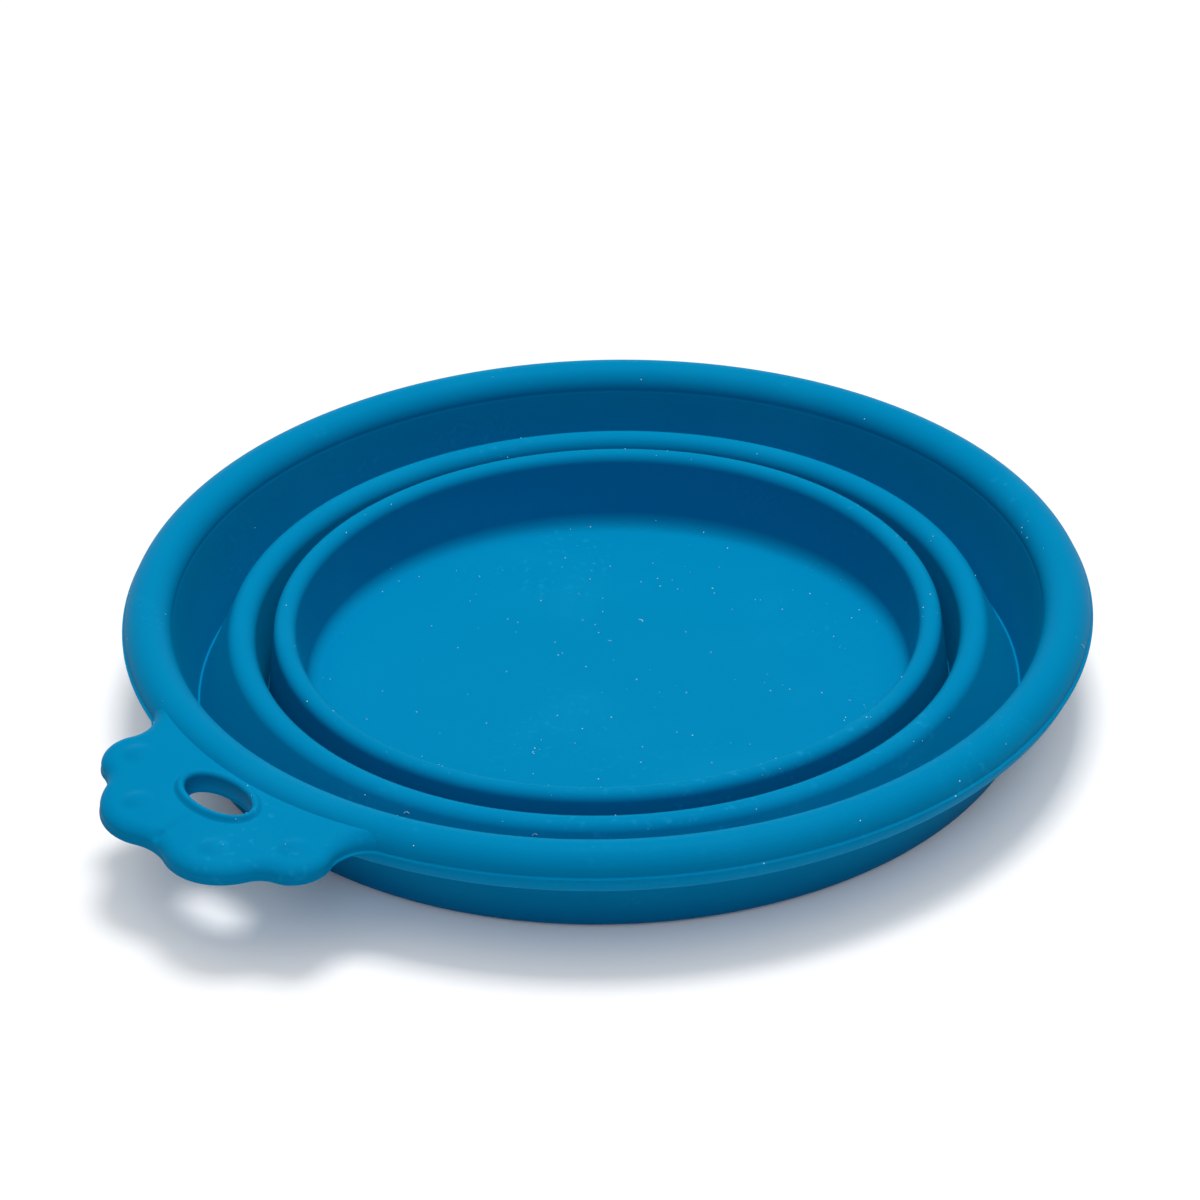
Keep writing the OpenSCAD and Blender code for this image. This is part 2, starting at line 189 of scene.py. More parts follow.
class Nodes:
    """Short hand for wiring a node tree."""

    def __init__(self, tree: bpy.types.NodeTree) -> None:
        """Keeps the tree that the nodes go into."""
        self.tree = tree

    def add(self, kind: str, fed: Fed | None = None, **settings: object) -> bpy.types.Node:
        """Adds a node and feeds it.

        Args:
            kind: Blender's name of the node's type.
            fed: What its inputs get, by their names or numbers.
            settings: Properties to set on it.

        Returns:
            The new node.
        """
        node = self.tree.nodes.new(kind)
        for name, value in settings.items():
            setattr(node, name, value)
        for key, value in (fed or {}).items():
            self.feed(node.inputs[key], value)
        return node

    def feed(self, target: bpy.types.NodeSocket, value: object) -> None:
        """Links or sets one input.

        Args:
            target: The input.
            value: A socket, which is linked into it, or a value, which is set there.
        """
        if isinstance(value, bpy.types.NodeSocket):
            self.tree.links.new(value, target)
        else:
            target.default_value = value

    def math(self, operation: str, *values: object) -> bpy.types.NodeSocket:
        """Adds a math node on up to three values and returns its result."""
        return self.add("ShaderNodeMath", dict(enumerate(values)), operation=operation).outputs[0]

    def mix(self, factor: object, low: object, high: object) -> bpy.types.NodeSocket:
        """Mixes two colours by a factor and returns the result."""
        fed = {"Factor": factor, "A": low, "B": high}
        return self.add("ShaderNodeMix", fed, data_type="RGBA").outputs["Result"]

    def smooth(self, value: object, low: float, high: float) -> bpy.types.NodeSocket:
        """Maps value smoothly from 0 at low to 1 at high."""
        fed = {"Value": value, "From Min": low, "From Max": high}
        return self.add("ShaderNodeMapRange", fed, interpolation_type="SMOOTHSTEP").outputs["Result"]

    def axis(self, vector: bpy.types.NodeSocket, axis: str) -> bpy.types.NodeSocket:
        """One component of a vector."""
        return self.add("ShaderNodeSeparateXYZ", {0: vector}).outputs[axis]

    def finish(self, made: bpy.types.NodeSocket, material: bpy.types.NodeSocket) -> None:
        """Makes a geometry real, gives it its material and sends it to the tree's output.

        Args:
            made: The geometry.
            material: Its material.
        """
        real = self.add("GeometryNodeRealizeInstances", {0: made})
        dress = self.add("GeometryNodeSetMaterial", {"Geometry": real.outputs[0], "Material": material})
        self.add("NodeGroupOutput", {0: dress.outputs[0]})


def shader_of(material: bpy.types.Material) -> bpy.types.Node:
    """Turns a material's nodes on and returns its shader."""
    material.use_nodes = True
    return material.node_tree.nodes["Principled BSDF"]


@dataclass(frozen=True)
class SiliconeFinish:
    """Matte, faintly satin silicone rubber with a fine moulded texture, with its sizes in metres."""

    name: str = "silicone"
    colour: Colour = (0.0, 0.212, 0.406, 1.0)
    smudged: Colour = (0.001, 0.223, 0.419, 1.0)
    bloomed: Colour = (0.012, 0.31, 0.55, 1.0)
    roughness: float = 0.45
    specular: float = 0.015
    specular_tint: Colour = (0.0, 0.5, 1.0, 1.0)
    smudge_size: float = 0.02
    smudge_edges: tuple[float, float] = (0.5, 0.75)
    smudge_detail: float = 3.0
    patch_size: float = 0.028
    patch_edges: tuple[float, float] = (0.53, 0.66)
    patch_detail: float = 2.0
    bloom_size: float = 0.0011
    bloom_edges: tuple[float, float] = (0.56, 0.74)
    bloom_detail: float = 4.0
    bloom: float = 0.4
    grain_size: float = 0.0006
    grain_depth: float = 0.000012
    grain_strength: float = 0.35
    grain_detail: float = 2.0

    def material(self) -> bpy.types.Material:
        """Builds the material on object coordinates.

        Returns:
            The material.
        """
        material = bpy.data.materials.new(self.name)
        shader = shader_of(material)
        nodes = Nodes(material.node_tree)
        place = nodes.add("ShaderNodeTexCoord").outputs["Object"]
        smudge, patch, bloom = (
            nodes.smooth(self._noise(nodes, place, size, detail), *edges)
            for size, detail, edges in (
                (self.smudge_size, self.smudge_detail, self.smudge_edges),
                (self.patch_size, self.patch_detail, self.patch_edges),
                (self.bloom_size, self.bloom_detail, self.bloom_edges),
            )
        )
        bloom = nodes.math("MULTIPLY", bloom, nodes.math("MULTIPLY", patch, self.bloom))
        colour = nodes.mix(bloom, nodes.mix(smudge, self.colour, self.smudged), self.bloomed)
        grain = self._noise(nodes, place, self.grain_size, self.grain_detail)
        bump = {"Height": grain, "Strength": self.grain_strength, "Distance": self.grain_depth}
        nodes.feed(shader.inputs["Base Color"], colour)
        nodes.feed(shader.inputs["Normal"], nodes.add("ShaderNodeBump", bump).outputs["Normal"])
        nodes.feed(shader.inputs["Roughness"], self.roughness)
        nodes.feed(shader.inputs["Specular IOR Level"], self.specular)
        nodes.feed(shader.inputs["Specular Tint"], self.specular_tint)
        return material

    @staticmethod
    def _noise(nodes: Nodes, place: object, size: float, detail: float) -> bpy.types.NodeSocket:
        """Noise whose patches have a size in metres, from 0 to 1."""
        fed = {"Vector": place, "Scale": 1 / size, "Detail": detail}
        return nodes.add("ShaderNodeTexNoise", fed).outputs["Fac"]


@dataclass(frozen=True)
class LintFinish:
    """Pale dust and short fibres that silicone picks up."""

    name: str = "lint"
    colour: Colour = (0.82, 0.91, 0.95, 1.0)
    roughness: float = 0.9
    specular: float = 0.1

    def material(self) -> bpy.types.Material:
        """Builds the plain matte material.

        Returns:
            The material.
        """
        material = bpy.data.materials.new(self.name)
        shader = shader_of(material)
        shader.inputs["Base Color"].default_value = self.colour
        shader.inputs["Roughness"].default_value = self.roughness
        shader.inputs["Specular IOR Level"].default_value = self.specular
        return material


def finished(mesh: bpy.types.Mesh, name: str) -> bpy.types.Object:
    """Cleans a mesh, turns its faces outwards, smooths it and links it as an object.

    Args:
        mesh: The mesh, in metres in the bowl's frame.
        name: Name of the new object.

    Returns:
        The new object.
    """
    work = bmesh.new()
    work.from_mesh(mesh)
    bmesh.ops.remove_doubles(work, verts=work.verts, dist=MERGE)
    bmesh.ops.dissolve_degenerate(work, edges=work.edges, dist=SLIVER)
    bmesh.ops.recalc_face_normals(work, faces=work.faces)
    work.to_mesh(mesh)
    work.free()
    mesh.shade_smooth()
    mesh.set_sharp_from_angle(angle=math.radians(SHARP_DEG))
    piece = bpy.data.objects.new(name, mesh)
    bpy.context.scene.collection.objects.link(piece)
    return piece


class Recipe:
    """A geometry node tree with named inputs, which turns a plain mesh into a finished piece."""

    def __init__(self, name: str, given: str, made: str, inputs: dict[str, str]) -> None:
        """Makes the tree with its sockets.

        Args:
            name: Name of the tree.
            given: Name of the geometry that it takes.
            made: Name of the geometry that it gives.
            inputs: Kind of each other input, by name.
        """
        self.tree = bpy.data.node_groups.new(name, "GeometryNodeTree")
        face = self.tree.interface
        face.new_socket(given, in_out="INPUT", socket_type="NodeSocketGeometry")
        for label, kind in inputs.items():
            face.new_socket(label, in_out="INPUT", socket_type="NodeSocket" + kind)
        face.new_socket(made, in_out="OUTPUT", socket_type="NodeSocketGeometry")
        self.nodes = Nodes(self.tree)
        self.given = self.nodes.add("NodeGroupInput").outputs

    def run(self, mesh: bpy.types.Mesh, name: str, values: dict[str, object]) -> bpy.types.Object:
        """Runs a mesh through the tree.

        Args:
            mesh: The mesh that goes in.
            name: Name of the piece that comes out.
            values: What the tree's inputs get, by name.

        Returns:
            The piece, as a plain mesh object at the origin.
        """
        source = bpy.data.objects.new(mesh.name, mesh)
        bpy.context.scene.collection.objects.link(source)
        modifier = source.modifiers.new(self.tree.name, "NODES")
        modifier.node_group = self.tree
        items = [item for item in self.tree.interface.items_tree if item.item_type == "SOCKET"]
        sockets = {item.name: item.identifier for item in items if item.in_out == "INPUT"}
        for label, value in values.items():
            modifier[sockets[label]] = value
        bpy.context.view_layer.update()
        evaluated = source.evaluated_get(bpy.context.evaluated_depsgraph_get())
        result = bpy.data.meshes.new_from_object(evaluated)
        result.name = name
        bpy.data.objects.remove(source, do_unlink=True)
        return finished(result, name)


@dataclass
class TurnedRing:
    """A node tree that turns a closed section about the bowl's axis, in millimetres.

    The section comes in as loose vertices at (radius, 0, height). A grid with one column for
    each step of the turn takes their places, and a slow waver keeps the soft ridges from being
    perfectly round and level.
    """

    segments: int = 480
    waver: float = 0.09
    waver_lobes: float = 2.0
    still_inside: float = 40.0
    still_outside: float = 57.0
    inside_ramp: float = 3.0
    outside_ramp: float = 4.0
    still_below: float = 1.5
    full_above: float = 9.0
    level_lobes: float = 3.0
    level_start: float = 0.9
    recipe: Recipe = field(init=False)

    def __post_init__(self) -> None:
        """Builds the tree once."""
        inputs = dict.fromkeys(("Section Points", "Segments"), "Int")
        inputs |= dict.fromkeys(("Waver", "Waver Lobes", "Still Inside", "Still Outside"), "Float")
        self.recipe = Recipe("turned ring", "Section", "Ring", inputs | {"Material": "Material"})
        nodes, given = self.recipe.nodes, self.recipe.given
        rows = nodes.math("ADD", given["Section Points"], 1.0)
        columns = nodes.math("ADD", given["Segments"], 1.0)
        grid = nodes.add("GeometryNodeMeshGrid", {"Vertices X": columns, "Vertices Y": rows})
        index = nodes.add("GeometryNodeInputIndex").outputs[0]
        column = nodes.math("FLOOR", nodes.math("DIVIDE", nodes.math("ADD", index, 0.5), rows))
        row = nodes.math("SUBTRACT", index, nodes.math("MULTIPLY", column, rows))
        fed = {
            "Geometry": given["Section"],
            "Value": nodes.add("GeometryNodeInputPosition").outputs[0],
            "Index": nodes.math("MODULO", row, given["Section Points"]),
        }
        sample = nodes.add("GeometryNodeSampleIndex", fed, data_type="FLOAT_VECTOR").outputs[0]
        turn = nodes.math("MULTIPLY", nodes.math("DIVIDE", column, given["Segments"]), math.tau)
        radius, height = self._wavered(nodes.axis(sample, "X"), nodes.axis(sample, "Z"), turn)
        fed = {
            "X": nodes.math("MULTIPLY", radius, nodes.math("COSINE", turn)),
            "Y": nodes.math("MULTIPLY", radius, nodes.math("SINE", turn)),
            "Z": height,
        }
        join = nodes.add("ShaderNodeCombineXYZ", fed)
        fed = {"Geometry": grid.outputs["Mesh"], "Position": join.outputs[0]}
        place = nodes.add("GeometryNodeSetPosition", fed)
        merge = nodes.add("GeometryNodeMergeByDistance", {"Geometry": place.outputs[0], "Distance": MERGE})
        nodes.finish(merge.outputs[0], given["Material"])

    def _wavered(self, radius: object, height: object, turn: object) -> tuple[object, object]:
        """Moves points by the waver, which is full on the ridges alone.

        Args:
            radius: Socket of a point's distance from the axis.
            height: Socket of its height.
            turn: Socket of its angle round the axis.

        Returns:
            The sockets of the new distance and height.
        """
        nodes, given = self.recipe.nodes, self.recipe.given
        inside = nodes.math("ADD", given["Still Inside"], self.inside_ramp * MM)
        outside = nodes.math("SUBTRACT", given["Still Outside"], self.outside_ramp * MM)
        weight = nodes.math(
            "MULTIPLY",
            nodes.smooth(radius, given["Still Inside"], inside),
            nodes.smooth(radius, given["Still Outside"], outside),
        )
        rise = nodes.smooth(height, self.still_below * MM, self.full_above * MM)
        shift = nodes.math("MULTIPLY", given["Waver"], nodes.math("MULTIPLY", weight, rise))
        wave = nodes.math("SINE", nodes.math("MULTIPLY", turn, given["Waver Lobes"]))
        late = nodes.math("ADD", turn, self.level_start)
        slow = nodes.math("SINE", nodes.math("MULTIPLY", late, self.level_lobes))
        moved = [nodes.math("MULTIPLY", shift, by) for by in (wave, slow)]
        return nodes.math("ADD", radius, moved[0]), nodes.math("ADD", height, moved[1])

    def turn(self, name: str, section: list[Point], material: bpy.types.Material) -> bpy.types.Object:
        """Turns one section into a ring.

        Args:
            name: Name of the piece.
            section: Its closed outline as [radius, height], in millimetres.
            material: Its finish.

        Returns:
            The plain mesh object.
        """
        mesh = bpy.data.meshes.new(name + " section")
        mesh.from_pydata([(p[0] * MM, 0.0, p[1] * MM) for p in section], [], [])
        values = {
            "Section Points": len(section),
            "Segments": self.segments,
            "Waver": self.waver * MM,
            "Waver Lobes": self.waver_lobes,
            "Still Inside": self.still_inside * MM,
            "Still Outside": self.still_outside * MM,
            "Material": material,
        }
        return self.recipe.run(mesh, name, values)


@dataclass
class Dressing:
    """What every sub-assembly needs to make and fit its pieces."""

    rings: TurnedRing
    silicone: bpy.types.Material

    def fit(self, piece: bpy.types.Object, node: str, shell: Shell) -> bpy.types.Object:
        """Lets a piece stand for a node and ride with its shell.

        Args:
            piece: The finished piece.
            node: The node that it stands for.
            shell: The shell that carries it.

        Returns:
            The same piece.
        """
        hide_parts(node)
        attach(piece, shell.value)
        log.info("%s: %d faces on %s", piece.name, len(piece.data.polygons), shell.value)
        return piece

    def ring(self, node: str, section: list[Point], shell: Shell) -> bpy.types.Object:
        """Turns a section and fits the ring for a node on a shell."""
        return self.fit(self.rings.turn(node, section, self.silicone), node, shell)

    def web(self, node: str, section: list[Point], follows: Shell, carrier: Shell) -> bpy.types.Object:
        """Turns a soft web that runs between two shells and leaves it fixed where it lies.

        Args:
            node: The web's node.
            section: Its closed outline.
            follows: The shell that carries its lower, moving end.
            carrier: The shell that its upper end grows from.

        Returns:
            The web.
        """
        piece = self.rings.turn(node, section, self.silicone)
        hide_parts(node)
        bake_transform(piece)
        log.info("%s: %d faces from %s to %s", node, len(piece.data.polygons), follows.value, carrier.value)
        return piece


@dataclass
class Lint:
    """A node tree that strews dust specks and short fibres over the upper sides of a body's pieces.

    They lie denser in some places than in others, and stay off the highest part of the rim, so
    that none stands out of the bowl's box. Lengths are in millimetres, the density per square metre.
    """

    finish: bpy.types.Material
    density: float = 130000.0
    speck: float = 0.1
    fibre: float = 0.9
    fibre_t: float = 0.028
    fibre_share: float = 0.07
    cluster: float = 14.0
    cluster_edges: tuple[float, float] = (0.35, 0.8)
    lowest: float = 0.5
    highest: float = 16.38
    least_upward: float = 0.35
    least_size: float = 0.25
    bend_shares: tuple[Triple, ...] = ((-0.5, 0.0, 0.0), (0.1, 0.45, 0.05), (0.4, -0.1, 0.0))
    bend_steps: int = 6
    fibre_sides: int = 5
    recipe: Recipe = field(init=False)

    def __post_init__(self) -> None:
        """Builds the tree once."""
        inputs = dict.fromkeys(("Density", "Speck", "Fibre", "Fibre Thickness", "Fibre Share"), "Float")
        inputs |= dict.fromkeys(("Cluster", "Lowest", "Highest"), "Float")
        inputs |= {"Seed": "Int", "Material": "Material"}
        self.recipe = Recipe("lint", "Surface", "Lint", inputs)
        nodes, given = self.recipe.nodes, self.recipe.given
        points = self._strewn()
        ball = nodes.add("GeometryNodeMeshIcoSphere", {"Radius": given["Speck"]})
        fed = {"Probability": given["Fibre Share"], "Seed": given["Seed"]}
        is_fibre = nodes.add("FunctionNodeRandomValue", fed, data_type="BOOLEAN").outputs[3]
        size = nodes.add("FunctionNodeRandomValue", {2: self.least_size, 3: 1.0}, data_type="FLOAT")
        join = nodes.add("GeometryNodeJoinGeometry")
        for kind, picked in (
            (ball.outputs["Mesh"], nodes.math("SUBTRACT", 1.0, is_fibre)),
            (self._thread(), is_fibre),
        ):
            fed = {
                "Points": points["Points"],
                "Selection": picked,
                "Instance": kind,
                "Rotation": points["Rotation"],
                "Scale": size.outputs[1],
            }
            drop = nodes.add("GeometryNodeInstanceOnPoints", fed)
            nodes.feed(join.inputs[0], drop.outputs[0])
        fed = {0: (0.0, 0.0, 0.0), 1: (0.0, 0.0, math.tau)}
        turn = nodes.add("FunctionNodeRandomValue", fed, data_type="FLOAT_VECTOR")
        fed = {"Instances": join.outputs[0], "Rotation": turn.outputs[0]}
        spin = nodes.add("GeometryNodeRotateInstances", fed)
        nodes.finish(spin.outputs[0], given["Material"])

    def _strewn(self) -> bpy.types.NodeOutputs:
        """Strews points on the upper sides, denser in patches.

        Returns:
            The outputs of the node that strews them.
        """
        nodes, given = self.recipe.nodes, self.recipe.given
        place = nodes.add("GeometryNodeInputPosition").outputs[0]
        height = nodes.axis(place, "Z")
        normal = nodes.add("GeometryNodeInputNormal").outputs[0]
        upward = nodes.math("GREATER_THAN", nodes.axis(normal, "Z"), self.least_upward)
        under = nodes.math("LESS_THAN", height, given["Highest"])
        inside = nodes.math("MULTIPLY", under, nodes.math("GREATER_THAN", height, given["Lowest"]))
        scale = nodes.math("DIVIDE", 1.0, given["Cluster"])
        patches = nodes.add("ShaderNodeTexNoise", {"Vector": place, "Scale": scale}).outputs["Fac"]
        dense = nodes.smooth(patches, *self.cluster_edges)
        fed = {
            "Mesh": given["Surface"],
            "Selection": nodes.math("MULTIPLY", upward, inside),
            "Density": nodes.math("MULTIPLY", given["Density"], dense),
            "Seed": given["Seed"],
        }
        return nodes.add("GeometryNodeDistributePointsOnFaces", fed, distribute_method="RANDOM").outputs

    def _thread(self) -> bpy.types.NodeSocket:
        """Makes a short bent fibre.

        Returns:
            Its geometry.
        """
        nodes, given = self.recipe.nodes, self.recipe.given
        line = nodes.add("GeometryNodeCurveQuadraticBezier", {"Resolution": self.bend_steps})
        for name, shares in zip(("Start", "Middle", "End"), self.bend_shares):
            scale = nodes.add("ShaderNodeVectorMath", {0: shares, "Scale": given["Fibre"]}, operation="SCALE")
            nodes.feed(line.inputs[name], scale.outputs[0])
        fed = {"Resolution": self.fibre_sides, "Radius": given["Fibre Thickness"]}
        profile = nodes.add("GeometryNodeCurvePrimitiveCircle", fed)
        fed = {"Curve": line.outputs[0], "Profile Curve": profile.outputs[0], "Fill Caps": True}
        return nodes.add("GeometryNodeCurveToMesh", fed).outputs[0]

    def strew(self, shell: Shell, pieces: Pieces, seed: int, share: float) -> bpy.types.Object:
        """Strews lint over the pieces of one shell.

        Args:
            shell: The shell that carries the lint.
            pieces: The pieces that it lies on.
            seed: Seed of the scatter.
            share: How dense it lies there, as a share of the density.

        Returns:
            The lint, as one plain mesh object.
        """
        work = bmesh.new()
        for piece in pieces:
            work.from_mesh(piece.data)
        values = {
            "Density": self.density * share,
            "Speck": self.speck * MM,
            "Fibre": self.fibre * MM,
            "Fibre Thickness": self.fibre_t * MM,
            "Fibre Share": self.fibre_share,
            "Cluster": self.cluster * MM,
            "Lowest": self.lowest * MM,
            "Highest": self.highest * MM,
            "Seed": seed,
            "Material": self.finish,
        }
        lint = self.recipe.run(mesh_of(work, "lint surface"), "lint_" + shell.value, values)
        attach(lint, shell.value)
        log.info("%s: %d faces", lint.name, len(lint.data.polygons))
        return lint


@dataclass(frozen=True)
class Fold:
    """A lower fold: a crease above, a round heel below and a tuck inside, in millimetres."""

    crease_r: float
    crease_t: float
    heel_r: float
    tuck_r: float
    heel_in: float
    lift: float
    crease_round: float
    steps: int = 18

    @property
    def crease(self) -> Point:
        """The crease, as if it were sharp."""
        return at(self.crease_r, self.lift + self.crease_t)

    @property
    def heel(self) -> Circle:
        """The round that the fold would stand on."""
        return Circle(self.crease_r - self.heel_in, self.lift + self.heel_r, self.heel_r)

    @property
    def tuck(self) -> Circle:
        """The round on the hidden side."""
        return Circle(self.crease_r - self.heel_in, self.lift + self.tuck_r, self.tuck_r)

    def section(self, wall_top: Point, wall_out: Point, web_out: Point, web_in: Point) -> list[Point]:
        """Outline of the fold between its wall and its web.

        Args:
            wall_top: Upper point of the wall's open side.
            wall_out: Upper point of the wall's hidden side.
            web_out: Upper point of the web's open side.
            web_in: Upper point of the web's hidden side.

        Returns:
            The closed outline.
        """
        cut = self.cut(wall_out)
        low = self.tuck.touch(web_in, Side.LEFT)
        from_wall = at_height(self.crease, wall_top, cut)
        to_web = at_height(self.crease, web_out, cut)
        return [
            from_wall,
            *rounded_corner(wall_top, self.crease, web_out, self.crease_round, self.steps // 2),
            to_web,
            at_height(low, web_in, cut),
            *self.tuck.arc(self.tuck.touch_angle(web_in, Side.LEFT), 270, self.steps, last=False),
            *self.heel.arc(270, 360 + self.heel.touch_angle(wall_out, Side.RIGHT), self.steps),
        ]

    def cut(self, wall_out: Point) -> float:
        """Height at which the wall and the web leave the fold."""
        return float(self.heel.touch(wall_out, Side.RIGHT)[1])


@dataclass(frozen=True)
class Ridge:
    """An upper fold that shows as a rounded ridge, in millimetres."""

    crest: Circle
    steps: int = 40

    def wall_top(self, low: Point) -> Point:
        """Where a wall that rises from low runs into the ridge."""
        return self.crest.touch(low, Side.RIGHT)

    def wall_foot(self, low: Point) -> Point:
        """The wall's open side at the height of the ridge's middle."""
        return at_height(low, self.wall_top(low), self.crest.y)

    def web_foot(self, crease: Point) -> Point:
        """The web's open side at the height of the ridge's middle."""
        return at_height(crease, self.crest.touch(crease, Side.LEFT), self.crest.y)

    def section(self, low: Point, wall_t: float, crease: Point, web_t: float) -> list[Point]:
        """Outline of the ridge.

        Args:
            low: Lower point of the wall's open side.
            wall_t: Thickness of the wall.
            crease: The crease that the web hangs down to.
            web_t: Thickness of the web.

        Returns:
            The closed outline.
        """
        web_foot, wall_foot = self.web_foot(crease), self.wall_foot(low)
        wall_out, web_in = wall_foot + at(wall_t, 0), web_foot - at(web_t, 0)
        middle = (wall_out + web_in) / 2
        groove = Circle(middle[0], middle[1], float(np.linalg.norm(web_in - wall_out)) / 2)
        start = self.crest.touch_angle(crease, Side.LEFT)
        end = near(start, self.crest.touch_angle(low, Side.RIGHT))
        return [
            web_foot,
            *self.crest.arc(start, end, self.steps),
            wall_foot,
            *groove.arc(180, 0, self.steps // 3),
        ]


def web_section(fold: Fold, ridge: Ridge, web_t: float, wall_out: Point, steps: int = 24) -> list[Point]:
    """Outline of a web, with steps up its length so that it can bend.

    Args:
        fold: The fold at its lower end.
        ridge: The ridge at its upper end.
        web_t: Its thickness under the ridge.
        wall_out: Upper point of the hidden side of the wall beyond the fold.
        steps: Number of steps up each side.

    Returns:
        The closed outline: up the hidden side and down the open one.
    """
    out_foot = ridge.web_foot(fold.crease)
    in_foot = out_foot - at(web_t, 0)
    cut = fold.cut(wall_out)
    in_low = at_height(fold.tuck.touch(in_foot, Side.LEFT), in_foot, cut)
    out_low = at_height(fold.crease, out_foot, cut)
    rise = np.linspace(0, 1, steps + 1)
    return [
        *[in_low + (in_foot - in_low) * share for share in rise],
        *[out_foot + (out_low - out_foot) * share for share in rise],
    ]


@dataclass
class Cup:
    """The shell that stands on the table: floor, wall, smaller ridge and the web below it, in millimetres."""

    dressing: Dressing
    floor_r: float = 40.55
    floor_t: float = 2.0
    floor_fillet: float = 2.0
    foot_round: float = 1.0
    wall_t: float = 1.45
    web_t: float = 1.2
    ridge: Ridge = Ridge(Circle(x=43.3, y=10.88, r=1.52))
    steps: int = 18

    @property
    def wall_low(self) -> Point:
        """Foot of the wall's open side, as if it met the floor at a corner."""
        return at(self.floor_r, self.floor_t)

    @property
    def lean(self) -> float:
        """Lean of the wall in degrees."""
        top = self.ridge.wall_top(self.wall_low)
        return math.degrees(math.atan2(top[0] - self.floor_r, top[1] - self.floor_t))

    @property
    def corner_share(self) -> float:
        """Distance from a corner at which a round between floor and wall starts, as a share of its radius."""
        lean = math.radians(self.lean)
        return (1 - math.sin(lean)) / math.cos(lean)

    @property
    def floor_edge(self) -> float:
        """Radius at which the floor meets its fillet."""
        return self.floor_r - self.floor_fillet * self.corner_share

    def floor_section(self) -> list[Point]:
        """Outline of the round floor, closed on the axis."""
        return [at(0, 0), at(self.floor_edge, 0), at(self.floor_edge, self.floor_t), at(0, self.floor_t)]

    def wall_section(self) -> list[Point]:
        """Draws the wall with its fillet and its rounded foot.

        Returns:
            The closed outline.
        """
        low, foot = self.wall_low, self.ridge.wall_foot(self.wall_low)
        outside = at_height(low, foot, 0)[0] + self.wall_t
        heel = Circle(outside - self.foot_round * self.corner_share, self.foot_round, self.foot_round)
        fillet = Circle(self.floor_edge, self.floor_t + self.floor_fillet, self.floor_fillet)
        return [
            at(self.floor_edge, 0),
            *heel.arc(-90, -self.lean, self.steps),
            foot + at(self.wall_t, 0),
            foot,
            *fillet.arc(-self.lean, -90, self.steps),
        ]

    def build(self, fold: Fold, wall_out: Point) -> Pieces:
        """Makes the cup's pieces.

        Args:
            fold: The fold that the web hangs down to.
            wall_out: Upper point of the middle wall's hidden side, which sets where the fold ends.

        Returns:
            The pieces.
        """
        dressing = self.dressing
        ridge = self.ridge.section(self.wall_low, self.wall_t, fold.crease, self.web_t)
        web = web_section(fold, self.ridge, self.web_t, wall_out)
        return [
            dressing.ring("base_floor", self.floor_section(), Shell.BASE),
            dressing.ring("cup_wall", self.wall_section(), Shell.BASE),
            dressing.ring("inner_ridge", ridge, Shell.BASE),
            dressing.web("inner_web", web, Shell.MIDDLE, Shell.BASE),
        ]


@dataclass
class MiddleBand:
    """The middle shell: fold, wall, larger ridge and the web below it, in millimetres."""

    dressing: Dressing
    fold: Fold = Fold(
        crease_r=46.05, crease_t=1.2, heel_r=1.9, tuck_r=0.6, heel_in=0.1, lift=0.3, crease_round=0.05
    )
    ridge: Ridge = Ridge(Circle(x=49.2, y=9.9, r=2.0))
    wall_t: float = 1.6
    web_t: float = 1.1

    @property
    def wall_foot(self) -> Point:
        """Upper point of the wall's open side."""
        return self.ridge.wall_foot(self.fold.crease)

    @property
    def wall_out(self) -> Point:
        """Upper point of the wall's hidden side."""
        return self.wall_foot + at(self.wall_t, 0)

    def wall_section(self) -> list[Point]:
        """Outline of the wall between the fold and the ridge."""
        low = at_height(self.fold.crease, self.wall_foot, self.fold.cut(self.wall_out))
        return [low, self.wall_foot, self.wall_out, self.fold.heel.touch(self.wall_out, Side.RIGHT)]

    def build(self, cup: Cup, outer: Fold, outer_wall_out: Point) -> Pieces:
        """Makes the middle shell's pieces.

        Args:
            cup: The cup, whose web runs down to this shell's fold.
            outer: The outer fold, which this shell's web hangs down to.
            outer_wall_out: Upper point of the outer wall's hidden side.

        Returns:
            The pieces.
        """
        dressing = self.dressing
        web_out = cup.ridge.web_foot(self.fold.crease)
        fold = self.fold.section(self.wall_foot, self.wall_out, web_out, web_out - at(cup.web_t, 0))
        ridge = self.ridge.section(self.fold.crease, self.wall_t, outer.crease, self.web_t)
        web = web_section(outer, self.ridge, self.web_t, outer_wall_out)
        return [
            dressing.ring("inner_fold", fold, Shell.MIDDLE),
            dressing.ring("middle_wall", self.wall_section(), Shell.MIDDLE),
            dressing.ring("outer_ridge", ridge, Shell.MIDDLE),
            dressing.web("outer_web", web, Shell.RIM, Shell.MIDDLE),
        ]


